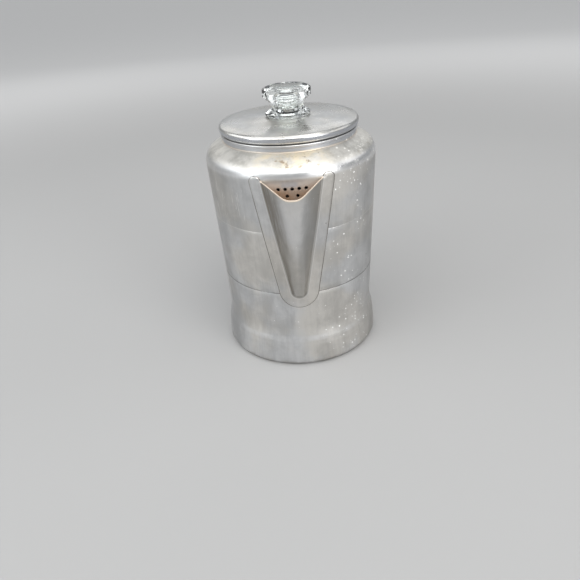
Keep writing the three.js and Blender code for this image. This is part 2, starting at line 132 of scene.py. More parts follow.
def rounded(corners, steps=5):
    """An outline from (r, z) or (r, z, fillet) corners, with each fillet drawn as an arc."""
    points = [Vector(c[:2]) for c in corners]
    outline = []
    for i, corner in enumerate(corners):
        radius = corner[2] if len(corner) > 2 else 0
        if radius == 0 or i in (0, len(corners) - 1):
            outline.append(tuple(points[i]))
            continue
        back = points[i - 1] - points[i]
        on = points[i + 1] - points[i]
        half = back.angle(on) / 2
        reach = min(radius / tan(half), back.length * 0.49, on.length * 0.49)
        true_radius = reach * tan(half)
        middle = (back.normalized() + on.normalized()).normalized()
        centre = points[i] + middle * (true_radius / sin(half))
        start = points[i] + back.normalized() * reach - centre
        end = points[i] + on.normalized() * reach - centre
        begin = atan2(start.y, start.x)
        sweep = (atan2(end.y, end.x) - begin + pi) % (2 * pi) - pi
        for k in range(steps + 1):
            angle = begin + sweep * k / steps
            outline.append((centre.x + true_radius * cos(angle),
                            centre.y + true_radius * sin(angle)))
    return outline


def dense(outline, step):
    """The same outline with long straight runs split, so that later shaping bends them smoothly."""
    points = []
    for (r0, z0), (r1, z1) in zip(outline, outline[1:]):
        count = max(1, int(hypot(r1 - r0, z1 - z0) / step))
        points += [(r0 + (r1 - r0) * k / count, z0 + (z1 - z0) * k / count) for k in range(count)]
    return points + [outline[-1]]


def lathe(name, outline, sides=ROUND, shape=None):
    """Revolves an outline; shape(radius, z, angle) may change the radius around the turn."""
    points = []
    rows = []
    for r, z in outline:
        if r < 1e-6:
            rows.append([len(points)] * sides)
            points.append((0, 0, z))
            continue
        row = []
        for i in range(sides):
            angle = 2 * pi * i / sides
            radius = shape(r, z, angle) if shape else r
            row.append(len(points))
            points.append((radius * sin(angle), -radius * cos(angle), z))
        rows.append(row)
    faces = []
    for low, high in zip(rows, rows[1:]):
        for i in range(sides):
            j = (i + 1) % sides
            face = list(dict.fromkeys((low[i], low[j], high[j], high[i])))
            if len(face) > 2:
                faces.append(face)
    return new_object(name, clean(raw_mesh(name, points, faces)))


def apply_modifiers(thing):
    """Bakes the modifiers into the mesh."""
    bpy.context.view_layer.update()
    depsgraph = bpy.context.evaluated_depsgraph_get()
    mesh = bpy.data.meshes.new_from_object(thing.evaluated_get(depsgraph))
    thing.modifiers.clear()
    thing.data = mesh
    return thing


def boolean(thing, tool, operation="DIFFERENCE"):
    """Cuts a tool out of a piece or joins it on, and removes the tool."""
    step = thing.modifiers.new("step", "BOOLEAN")
    step.operation, step.solver, step.object = operation, "EXACT", tool
    apply_modifiers(thing)
    bpy.data.objects.remove(tool)
    return thing


def drill(thing, holes, sides=20):
    """Cuts round holes, each (start, end, radius) in millimetres, clean through."""
    cutters = bmesh.new()
    for start, end, radius in holes:
        start, end = Vector(start) * MM, Vector(end) * MM
        along = end - start
        turn = along.to_track_quat("Z", "Y").to_matrix().to_4x4()
        place = Matrix.Translation((start + end) / 2) @ turn
        bmesh.ops.create_cone(cutters, cap_ends=True, segments=sides, radius1=radius * MM,
                              radius2=radius * MM, depth=along.length, matrix=place)
    mesh = bpy.data.meshes.new("cutters")
    cutters.to_mesh(mesh)
    cutters.free()
    return boolean(thing, new_object("cutters", mesh))


def bevelled(thing, width_mm, segments=3, angle=30):
    bevel = thing.modifiers.new("edges", "BEVEL")
    bevel.width = width_mm * MM
    bevel.segments = segments
    bevel.limit_method = "ANGLE"
    bevel.angle_limit = radians(angle)
    return apply_modifiers(thing)


def show(thing, body, nodes, material):
    """Finishes a piece: its material, the body it rides on, and the CAD nodes it stands for."""
    thing.data.materials.clear()
    thing.data.materials.append(material)
    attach(thing, body)
    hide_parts(*nodes)
    return thing


# ---------------------------------------------------------------- material helpers

class Paint:
    """A short way to write node trees in each piece's own coordinates, which are metres."""

    def __init__(self, name, **values):
        self.material = bpy.data.materials.new(name)
        self.material.use_nodes = True
        self.nodes = self.material.node_tree.nodes
        self.links = self.material.node_tree.links
        self.shader = self.nodes["Principled BSDF"]
        self.place = self.node("TexCoord").outputs["Object"]
        self.x, self.y, self.z = self.node("SeparateXYZ", Vector=self.place).outputs
        self.set(**values)

    def wire(self, socket, value):
        """Links a socket, or sets its value. A colour is given as red, green and blue."""
        if isinstance(value, bpy.types.NodeSocket):
            self.links.new(value, socket)
        else:
            socket.default_value = (*value, 1.0) if socket.type == "RGBA" else value

    def set(self, node=None, **values):
        """Sets or links inputs by name, those of the shader where no node is given."""
        for name, value in values.items():
            self.wire((node or self.shader).inputs[name.replace("_", " ")], value)

    def node(self, kind, settings=(), **values):
        """A new node with its settings made and its named inputs set or linked."""
        node = self.nodes.new("ShaderNode" + kind)
        for name, setting in settings:
            setattr(node, name, setting)
        self.set(node, **values)
        return node

    def math(self, operation, *values):
        """Works an operation along its values, from the first to the last."""
        result = values[0]
        for value in values[1:] or (0.0,):
            node = self.node("Math", [("operation", operation)])
            self.wire(node.inputs[0], result)
            self.wire(node.inputs[1], value)
            result = node.outputs[0]
        return result

    def plus(self, *values):
        return self.math("ADD", *values)

    def minus(self, *values):
        return self.math("SUBTRACT", *values)

    def times(self, *values):
        return self.math("MULTIPLY", *values) if len(values) > 1 else values[0]

    def most(self, *values):
        return self.math("MAXIMUM", *values)

    def absolute(self, value):
        return self.math("ABSOLUTE", value)

    def from_axis(self):
        """Distance from the upright axis."""
        return self.math("SQRT", self.plus(self.times(self.x, self.x), self.times(self.y, self.y)))

    def stretched(self, scale, turn=(0, 0, 0)):
        turned = [radians(angle) for angle in turn]
        return self.node("Mapping", Vector=self.place, Scale=scale, Rotation=turned).outputs[0]

    def noise(self, scale, detail=4.0, rough=0.55, at=None, distort=0.0):
        node = self.node("TexNoise", Vector=at or self.place, Scale=scale, Detail=detail,
                         Roughness=rough, Distortion=distort)
        return node.outputs[0]

    def cells(self, scale, at=None):
        """Distance to scattered points, and a random value for each of them."""
        node = self.node("TexVoronoi", Vector=at or self.place, Scale=scale)
        parts = self.node("SeparateColor", Color=node.outputs["Color"])
        return node.outputs["Distance"], parts.outputs[0]

    def ramp(self, value, low, high, to_low=0.0, to_high=1.0):
        """Maps low..high smoothly to to_low..to_high, held beyond its ends."""
        node = self.node("MapRange", [("interpolation_type", "SMOOTHSTEP")], Value=value,
                         From_Min=low, From_Max=high, To_Min=to_low, To_Max=to_high)
        return node.outputs["Result"]

    def fade(self, value, low, high):
        return self.ramp(value, low, high, 1.0, 0.0)

    def band(self, value, centre, half, soft):
        """1 inside centre +- half, fading to 0 over soft."""
        return self.fade(self.absolute(self.minus(value, centre)), half, half + soft)

    def above(self, low_mm, high_mm):
        """Grows from 0 at one height to 1 at the next."""
        return self.ramp(self.z, low_mm * MM, high_mm * MM)

    def below(self, low_mm, high_mm):
        return self.fade(self.z, low_mm * MM, high_mm * MM)

    def level(self, centre_mm, half_mm, soft_mm):
        """A band round a height."""
        return self.band(self.z, centre_mm * MM, half_mm * MM, soft_mm * MM)

    def mix(self, share, a, b):
        """Mixes two colours."""
        node = self.node("Mix", [("data_type", "RGBA")], Factor=share, A=a, B=b)
        return node.outputs["Result"]

    def coat(self, tone, *shares):
        """Lays a tone over the colour, as strongly as its shares say together."""
        self.colour = self.mix(self.times(*shares), self.colour, tone)

    def roughen(self, mask, amount):
        self.roughness = self.plus(self.roughness, self.times(mask, amount))

    def finish(self, height=None, depth_mm=0.0, strength=1.0):
        """Closes the material, with a bump where a height is given."""
        self.set(Base_Color=self.colour, Roughness=self.roughness)
        if height is not None:
            bump = self.node("Bump", Height=height, Distance=depth_mm * MM, Strength=strength)
            self.set(Normal=bump.outputs[0])
        return self.material


# ---------------------------------------------------------------- materials

def worn_metal(paint, tone, rough, upright=True, specks=1.0, pits=0.07):
    """Satin aluminium worn by use: sets colour, roughness and height, and returns the specks."""
    broad_scale, brushed_scale = ((9, 9, 2.6), (95, 95, 4)) if upright else ((7, 7, 7), (40, 40, 40))
    broad = paint.noise(5.0, 3.0, 0.5, paint.stretched(broad_scale))
    clouds = paint.noise(55.0, 6.0, 0.62, distort=0.5)
    brushed = paint.noise(6.0, 4.0, 0.6, paint.stretched(brushed_scale))
    grain = paint.noise(1400.0, 2.0, 0.7)
    tone_mix = paint.plus(paint.times(broad, 0.52), paint.times(clouds, 0.36), paint.times(brushed, 0.12))
    tint = paint.ramp(paint.noise(17.0, 3.0, 0.5), 0.4, 0.6)

    def tinted(level):
        cool = [min(1.0, c * level * k) for c, k in zip(tone, (0.98, 1.0, 1.03))]
        warm = [min(1.0, c * level * k) for c, k in zip(tone, (1.015, 1.0, 0.97))]
        return paint.mix(tint, cool, warm)

    paint.colour = paint.mix(paint.ramp(tone_mix, 0.37, 0.63), tinted(0.80), tinted(1.11))
    paint.roughness = paint.ramp(tone_mix, 0.35, 0.65, rough + 0.07, rough - 0.05)

    distance, chance = paint.cells(300.0)
    ragged = paint.plus(distance, paint.times(paint.noise(1100.0, 2.0), 0.12))
    crowd = paint.times(paint.ramp(paint.noise(24.0, 2.0), 0.36, 0.54, 0.3, 1.0), specks)
    size = paint.minus(paint.times(crowd, 0.20), paint.times(chance, 0.30))
    speck = paint.times(paint.fade(paint.minus(ragged, size), 0.11, 0.17), paint.ramp(size, 0.0, 0.07))
    paint.coat((0.95, 0.945, 0.93), speck)
    paint.roughen(speck, 0.2)

    pit_distance, pit_chance = paint.cells(120.0, paint.stretched((1, 1, 0.8), (20, 35, 10)))
    pit = paint.times(paint.fade(pit_distance, 0.045, 0.09),
                      paint.ramp(pit_chance, 1.0 - pits, 1.0 - pits * 0.9))
    paint.coat((0.07, 0.06, 0.055), pit)

    uneven = paint.plus(paint.times(grain, 0.25), paint.times(clouds, 0.6))
    paint.height = paint.plus(paint.minus(uneven, paint.times(pit, 1.2)), paint.times(speck, 0.35))
    return speck


def scratches(paint, turn, scale, where):
    """Thin straight scratches in one direction, as a mask over part of the piece."""
    lines = paint.noise(9.0, 1.0, 0.4, paint.stretched(scale, turn))
    return paint.times(paint.ramp(lines, 0.66, 0.70), where)


def pot_material():
    paint = Paint("pot_aluminium")
    radius = paint.from_axis()
    right_side = paint.times(paint.ramp(paint.x, 0.015, 0.045, 0.18, 1.0),
                             paint.ramp(paint.x, 0.062, 0.074, 1.0, 0.45))
    below_spout = paint.times(paint.level(55, 20, 15), paint.band(paint.x, 0.0, 0.02, 0.02), 0.6)
    speck = worn_metal(paint, (0.665, 0.655, 0.64), 0.37, specks=paint.most(right_side, below_spout))
    upper_left = paint.times(paint.fade(paint.x, -0.046, -0.04), paint.fade(paint.y, -0.03, -0.02),
                             paint.level(WALL_TOP_Z - 25, 11, 8))
    scratch = scratches(paint, (0, 40, 0), (110, 110, 9), upper_left)
    paint.coat((0.97, 0.96, 0.94), scratch, 0.85)

    # Painted shade: the flanks and the upper left are painted darker. Painted highlight: the shoulder's
    # corner and the foot's ridge are painted lighter.
    flank = paint.ramp(paint.absolute(paint.x), 0.052, 0.078, 0.0, 0.42)
    upper = paint.times(paint.fade(paint.x, -0.05, -0.008), paint.above(115, 165), 0.3)
    painted_shade = paint.times(paint.most(flank, upper),
                         paint.ramp(paint.z, (WALL_TOP_Z - 4) * MM, (WALL_TOP_Z + 3) * MM, 1.0, 0.25))
    paint.coat((0.30, 0.295, 0.285), painted_shade)
    # Painted highlight: a light band round the shoulder's corner and the foot's ridge.
    painted_highlight = paint.times(paint.level(WALL_TOP_Z + 4.5, 2.5, 3.5),
                         paint.ramp(paint.x, -0.045, 0.0, 0.4, 1.0))
    ridge = paint.times(paint.level(30.5, 1, 3.2),
                        paint.ramp(paint.noise(42.0, 4.0), 0.38, 0.6, 0.2, 1.0),
                        paint.ramp(paint.absolute(paint.x), 0.042, 0.07, 1.0, 0.1))
    painted_highlight = paint.most(painted_highlight, ridge)
    paint.coat((0.86, 0.862, 0.87), painted_highlight, 0.62)
    paint.roughen(painted_highlight, -0.05)

    # The shoulder's top face is duller and creamier, with a golden stain at the front.
    top_face = paint.above(WALL_TOP_Z + 6, WALL_TOP_Z + 10)
    below_neck = paint.below(NECK_FOOT_Z + 0.2, NECK_FOOT_Z + 0.8)
    patchy = paint.noise(70.0, 6.0, 0.66)
    mottle = paint.mix(paint.ramp(patchy, 0.36, 0.6), (0.55, 0.53, 0.48), (0.80, 0.775, 0.72))
    dull_top = paint.times(top_face, below_neck)
    paint.coat(mottle, dull_top, 0.72)
    paint.roughen(dull_top, 0.09)
    front = paint.times(paint.band(paint.x, 0.0, 0.018, 0.022), paint.fade(paint.y, -0.058, -0.05))
    drips = paint.noise(45.0, 5.0, 0.62, distort=0.4)
    golden = paint.times(front, dull_top, paint.ramp(drips, 0.42, 0.6, 0.1, 1.0))
    paint.coat((0.88, 0.77, 0.57), golden, 0.75)
    smudge_noise = paint.noise(120.0, 5.0, 0.62, distort=0.2)
    smudges = paint.times(front, dull_top, paint.ramp(smudge_noise, 0.57, 0.66))
    paint.coat((0.30, 0.21, 0.12), smudges, 0.7)

    # Chalky pitting where the shoulder turns down on the right.
    chalk_area = paint.times(paint.ramp(paint.x, 0.042, 0.062), paint.level(WALL_TOP_Z + 7, 5, 6))
    chalk_noise = paint.noise(260.0, 4.0, 0.7)
    chalk = paint.times(chalk_area, paint.ramp(chalk_noise, 0.57, 0.64))
    paint.coat((0.97, 0.95, 0.91), chalk, 0.9)
    paint.roughen(chalk, 0.1)
    rot = paint.times(chalk_area, paint.fade(chalk_noise, 0.36, 0.40))
    paint.coat((0.46, 0.38, 0.27), rot, 0.3)

    # The neck is tinted cooler, with a tan line in the crease under it.
    neck = paint.times(paint.above(NECK_FOOT_Z + 0.8, NECK_FOOT_Z + 1.6),
                       paint.below(RIM_Z - 1.2, RIM_Z - 0.6))
    paint.coat((0.52, 0.545, 0.60), neck, 0.55)
    crease = paint.times(paint.level(NECK_FOOT_Z + 0.1, 0.3, 0.7),
                         paint.ramp(patchy, 0.35, 0.6, 0.35, 1.0))
    paint.coat((0.58, 0.47, 0.38), crease, 0.45)

    # Coffee film on the wall behind the spout, heaviest low in the V.
    widening = paint.times(paint.minus(paint.z, (TROUGH_TIP_Z - 10) * MM), 0.215)
    inside_v = paint.minus(widening, paint.absolute(paint.x))
    behind = paint.times(paint.fade(paint.y, -0.07, -0.06), paint.ramp(inside_v, -0.002, 0.004),
                         paint.below(WALL_TOP_Z - 5, WALL_TOP_Z + 1))
    low_film = paint.below(LIP_Z - 6, LIP_Z + 7)
    film_tone = paint.mix(low_film, (0.74, 0.675, 0.615), (0.50, 0.32, 0.19))
    wiped = paint.times(paint.band(paint.x, -0.002, 0.005, 0.004),
                        paint.level(WALL_TOP_Z - 3.5, 1.5, 2.5))
    film_tone = paint.mix(paint.times(wiped, 0.7), film_tone, (0.47, 0.49, 0.54))
    paint.coat(film_tone, behind, paint.ramp(patchy, 0.3, 0.65, 0.6, 0.95))
    paint.roughen(behind, 0.1)

    # The two score rings: the lower one is darkened in patches, and the upper one gets a painted
    # highlight.
    outside = paint.ramp(radius, (WAIST_R - 0.2) * MM, (WAIST_R + 0.1) * MM)
    low_ring = paint.times(outside, paint.ramp(patchy, 0.3, 0.5, 0.35, 1.0),
                           paint.level(SCORE_RINGS["lower"], 0.25, 0.3))
    upper_ring_highlight = paint.times(outside, paint.level(SCORE_RINGS["upper"], 0.25, 0.3))
    paint.coat((0.13, 0.12, 0.11), low_ring, 0.75)
    paint.coat((0.9, 0.88, 0.84), upper_ring_highlight, 0.2)

    # Grime low on the foot.
    foot = paint.times(paint.below(1, 7), paint.ramp(patchy, 0.35, 0.6, 0.3, 1.0))
    paint.coat((0.22, 0.19, 0.15), foot, 0.65)

    # Years of coffee have browned the inside.
    outer_wall = paint.plus(paint.times(paint.minus(paint.z, WAIST_Z * MM), WALL_SLOPE), WAIST_R * MM)
    depth = paint.minus(outer_wall, radius)
    inside = paint.times(paint.ramp(depth, 0.0006, 0.0009), paint.below(WALL_TOP_Z - 1, WALL_TOP_Z + 1),
                         paint.above(0.9, 1.2))
    stain = paint.mix(paint.ramp(patchy, 0.35, 0.65), (0.075, 0.045, 0.028), (0.20, 0.14, 0.095))
    paint.coat(stain, inside)
    dry = paint.most(speck, paint.times(chalk, 0.25), paint.times(behind, 0.5))
    paint.set(Metallic=paint.minus(1.0, dry))
    return paint.finish(paint.height, 0.12, 0.6)


def spout_material():
    paint = Paint("spout_aluminium")
    speck = worn_metal(paint, (0.64, 0.625, 0.605), 0.36, specks=0.35)

    names = ("lip_distance", "crease_distance", "rim_distance", "inner_face")
    lip, crease, rim, inner = [paint.node("Attribute", [("attribute_name", name)]).outputs["Fac"]
                               for name in names]
    blotch = paint.noise(80.0, 6.0, 0.66, paint.stretched((2.2, 2.2, 0.3)))
    left = paint.ramp(paint.x, -0.006, 0.004, 1.0, 0.25)
    seam = paint.times(paint.fade(crease, 0.6, 8.0), paint.ramp(blotch, 0.42, 0.6), left)
    paint.coat((0.27, 0.22, 0.17), seam, 0.72)
    streak_noise = paint.noise(60.0, 5.0, 0.62, paint.stretched((5, 5, 0.3)))
    streaks = paint.times(paint.fade(crease, 5.0, 15.0), paint.ramp(streak_noise, 0.42, 0.54),
                          paint.fade(paint.x, -0.006, 0.0), paint.above(110, 160))
    paint.coat((0.20, 0.155, 0.11), streaks, 0.72)
    trough = paint.fade(crease, 20.5, 21.5)
    # Painted shade on the trough's side planes.
    side_plane_shade = paint.times(paint.fade(crease, 6.0, 18.0), trough)
    paint.coat((0.34, 0.33, 0.31), side_plane_shade, 0.55)
    # Painted highlight down the trough's nose.
    front = paint.times(paint.ramp(crease, 11.0, 19.0), trough)
    paint.coat((0.80, 0.79, 0.775), front, 0.45)
    # Painted shadow under the trough's tip.
    tip_shadow = paint.times(paint.fade(crease, 0.3, 2.2), paint.below(TROUGH_TIP_Z + 2, TROUGH_TIP_Z + 8))
    paint.coat((0.17, 0.15, 0.13), tip_shadow, 0.75)
    # Along the creases: a brown line on the left side and a painted highlight on the right side.
    fold = paint.times(paint.fade(crease, 0.2, 0.75), paint.minus(1.0, tip_shadow))
    fold_tone = paint.mix(paint.ramp(paint.x, -0.003, 0.003), (0.25, 0.20, 0.155), (0.93, 0.91, 0.88))
    paint.coat(fold_tone, fold, 0.5)
    # Along the flange's border: a painted highlight just inside it, and a dark line at the edge that is
    # painted shade with some soiling.
    border_highlight = paint.band(rim, 1.25, 0.3, 0.3)
    paint.coat((0.88, 0.86, 0.83), border_highlight, 0.6)
    border_shade_and_dirt = paint.times(paint.fade(rim, 0.6, 0.95), paint.ramp(blotch, 0.3, 0.55, 0.45, 1.0))
    paint.coat((0.16, 0.135, 0.11), border_shade_and_dirt, 0.85)
    film = paint.times(paint.ramp(inner, 0.9, 1.0), paint.ramp(lip, 1.2, 2.4))
    paint.coat((0.56, 0.41, 0.29), film, 0.9)
    tan_lip = paint.fade(lip, 0.85, 1.3)
    paint.coat((0.90, 0.77, 0.63), tan_lip)
    dry = paint.most(speck, paint.times(tan_lip, 0.55), paint.times(film, 0.5))
    paint.set(Metallic=paint.minus(1.0, dry))
    return paint.finish(paint.height, 0.12, 0.6)


def lid_material():
    paint = Paint("lid_aluminium", Metallic=1.0)
    worn_metal(paint, (0.68, 0.67, 0.65), 0.28, upright=False, specks=0.4, pits=0.015)
    radius = paint.from_axis()
    spun = paint.noise(900.0, 3.0, 0.6, paint.node("CombineXYZ", X=radius).outputs[0])
    paint.height = paint.plus(paint.times(paint.height, 0.7), paint.times(spun, 0.35))
    patches = paint.ramp(paint.noise(28.0, 2.0), 0.5, 0.56)
    scratch = scratches(paint, (0, 0, 20), (5, 130, 130), patches)
    paint.coat((0.9, 0.89, 0.87), scratch, 0.45)
    dull = paint.ramp(paint.noise(30.0, 4.0, 0.6), 0.35, 0.65)
    paint.coat((0.56, 0.54, 0.49), dull, 0.3)

    # Painted reflection: the rolled edge is painted darker and bluer below its highlight. Painted shadow:
    # near black under the rolled edge, at the gap over the pot's rim.
    roll = paint.times(paint.below(LID_TOP - 5.9, LID_TOP - 4.7),
                       paint.ramp(radius, (LID_R - 4.7) * MM, (LID_R - 4.1) * MM))
    paint.coat((0.47, 0.50, 0.57), roll, 0.6)
    gap_shadow = paint.times(roll, paint.below(LID_TOP - 9.7, LID_TOP - 8.9))
    paint.coat((0.045, 0.045, 0.05), gap_shadow, 0.9)
    return paint.finish(paint.height, 0.08, 0.5)


def inner_material(name, tone, rough, film):
    """Dull inside parts with an uneven brown coffee film."""
    paint = Paint(name, Metallic=1.0)
    worn_metal(paint, tone, rough, upright=False, specks=0.3)
    blotch = paint.ramp(paint.noise(45.0, 5.0, 0.65, distort=0.8), 0.4, 0.66)
    paint.coat((0.34, 0.23, 0.13), blotch, film)
    paint.roughen(blotch, 0.12)
    return paint.finish(paint.height, 0.1, 0.5)


def steel_material():
    paint = Paint("plated_steel", Metallic=1.0)
    brushed = paint.noise(30.0, 4.0, 0.6, paint.stretched((40, 4, 40)))
    tarnish = paint.ramp(paint.noise(60.0, 4.0, 0.6), 0.45, 0.7)
    paint.colour = paint.mix(brushed, (0.5, 0.5, 0.5), (0.7, 0.7, 0.69))
    paint.coat((0.33, 0.29, 0.24), tarnish, 0.5)
    paint.roughness = paint.ramp(brushed, 0.3, 0.7, 0.24, 0.38)
    return paint.finish(brushed, 0.05, 0.5)


def phenolic_material():
    paint = Paint("black_phenolic")
    flow = paint.noise(40.0, 5.0, 0.6, paint.stretched((1, 1, 0.35)), distort=1.2)
    wear = paint.ramp(paint.noise(120.0, 4.0, 0.65), 0.55, 0.72)
    paint.colour = paint.mix(paint.ramp(flow, 0.4, 0.62), (0.012, 0.011, 0.011), (0.032, 0.028, 0.026))
    paint.coat((0.06, 0.055, 0.05), wear, 0.5)
    paint.roughness = paint.ramp(flow, 0.35, 0.65, 0.28, 0.42)
    grain = paint.noise(700.0, 3.0)
    return paint.finish(grain, 0.06, 0.4)


def glass_material():
    paint = Paint("clear_glass", IOR=1.5, Transmission_Weight=1.0, Specular_IOR_Level=0.5)
    faint = paint.noise(120.0, 2.0)
    paint.colour = paint.mix(faint, (0.95, 0.985, 0.965), (0.985, 1.0, 0.99))
    paint.roughness = paint.ramp(paint.noise(60.0, 3.0), 0.5, 0.8, 0.0, 0.06)
    return paint.finish(faint, 0.4, 0.25)


# ---------------------------------------------------------------- pot

def wall_radius(z):
    """Outside radius of the straight wall and of the shoulder's curve above it."""
    over = max(0.0, z - WALL_TOP_Z)
    straight = WAIST_R + (min(z, WALL_TOP_Z) - WAIST_Z) * WALL_SLOPE
    return straight - SHOULDER_CURVE + sqrt(SHOULDER_CURVE ** 2 - over ** 2)


def hand_worn(r, z, angle):
    """Leaves the turned wall very slightly out of true, as a used pot is."""
    if r < 40:
        return r
    fade = min(1.0, max(0.0, (z - 6) / 20)) * min(1.0, max(0.0, (WALL_TOP_Z - 6 - z) / 40))
    swell = (sin(2 * angle + 0.6) * 0.10 + sin(3 * angle + z / 31) * 0.07
             + sin(5 * angle - z / 19 + 1.1) * 0.05 + sin(z / 13 + 2 * angle) * 0.04)
    return r + swell * fade


def pot_body():
    shoulder_z = NECK_FOOT_Z - (SHOULDER_R - NECK_R) * 0.51
    rings = []
    for key, score in (("lower", 0.22), ("upper", 0.13)):
        z = SCORE_RINGS[key]
        r = wall_radius(z)
        rings += [(r, z - 0.45), (r - score, z, 0.2), (r, z + 0.45)]
    outside = rounded([
        (0, 0),
        (FOOT_R - 3.2, 0, 2.4),
        (FOOT_R, 3.4, 2.6),
        (FOOT_R - 0.3, 13, 20),
        (FOOT_R - 1.1, 23, 12),
        (FOOT_R - 2.3, 30, 6),
        (WAIST_R + 0.1, WAIST_Z - 1.5, 40),
        *rings,
        (SHOULDER_R + 0.28, shoulder_z, SHOULDER_CURVE),
        (NECK_R, NECK_FOOT_Z, 0.7),
        (NECK_R, RIM_Z - 2.6, 0.5),
        (NECK_R + 1.4, RIM_Z - 2.1, 0.8),
        (NECK_R + 1.4, RIM_Z, 1.0),
        (MOUTH_R, RIM_Z, 0.8),
        (MOUTH_R, NECK_FOOT_Z - 1.2, 0.7),
        (SHOULDER_R + 0.28 - SHEET, shoulder_z - 0.4, 12.8),
        (WAIST_R + 0.1 - SHEET, WAIST_Z - 1.5, 40),
        (FOOT_R - 2.3 - SHEET, 30, 6),
        (FOOT_R - 1.1 - SHEET, 23, 12),
        (FOOT_R - SHEET, 4.5, 3),
        (FOOT_R - 4, SHEET, 2),
        (0, SHEET),
    ], 8)
    body = lathe("pot_shell", dense(outside, 5.0), 256, hand_worn)
    holes = []
    for along, z in strainer_holes():
        angle = along / wall_radius(z)
        out = Vector((sin(angle), -cos(angle), 0))
        holes.append((out * 70 + Vector((0, 0, z)), out * 88 + Vector((0, 0, z)), 1.55))
    for node in ("rivet_upper_top", "rivet_upper_bottom", "rivet_lower_top", "rivet_lower_bottom"):
        z = middle_z(node)
        holes.append(((0, 68, z), (0, 88, z), 2.0))
    return shade(drill(body, holes), 28)


def strainer_holes():
    """Holes through the wall behind the spout, as (distance round the wall, z)."""
    pitch = 5.9
    top = RIM_Z - 31.8
    rows = [[-2 * pitch, -pitch, 0, pitch, 2 * pitch], [-4.5, 4.5], [-pitch, 0, pitch], [-3, 3]]
    return [(along, top - 6.1 * level) for level, row in enumerate(rows) for along in row]


# ---------------------------------------------------------------- spout

def trough_edge(share):
    """Half of the trough's edge on the wall, from its round tip (0) to its top (1): (half width, z)."""
    tip = 7.0
    if share < 0.25:
        angle = radians(80) * share / 0.25
        return tip * sin(angle), TROUGH_TIP_Z + tip * (1 - cos(angle))
    t = (share - 0.25) / 0.75
    low = TROUGH_TIP_Z + tip * 0.8
    start = tip * 0.985
    half_width = start + (TROUGH_HALF - start) * t ** 1.07 + 0.6 * sin(pi * t)
    return half_width, low + (TROUGH_TOP_Z - low) * t


def flange_edge(share):
    """The flange's outer edge beside the same share of the trough's edge."""
    x, z = trough_edge(share)
    if share == 0:
        return x, z - FLANGE
    before, after = trough_edge(max(0, share - 0.02)), trough_edge(min(1, share + 0.02))
    length = hypot(after[0] - before[0], after[1] - before[1])
    return (x + (after[1] - before[1]) / length * FLANGE,
            z + (before[0] - after[0]) / length * FLANGE)


def crest(u, nose):
    """Height across the trough: straight sides blended into a blunt nose."""
    blend = 0.22
    slope = (1 - abs(u)) / (1 - nose)
    if slope <= 1 - blend:
        return slope
    return 1.0 if slope >= 1 + blend else 1 - (1 + blend - slope) ** 2 / (4 * blend)


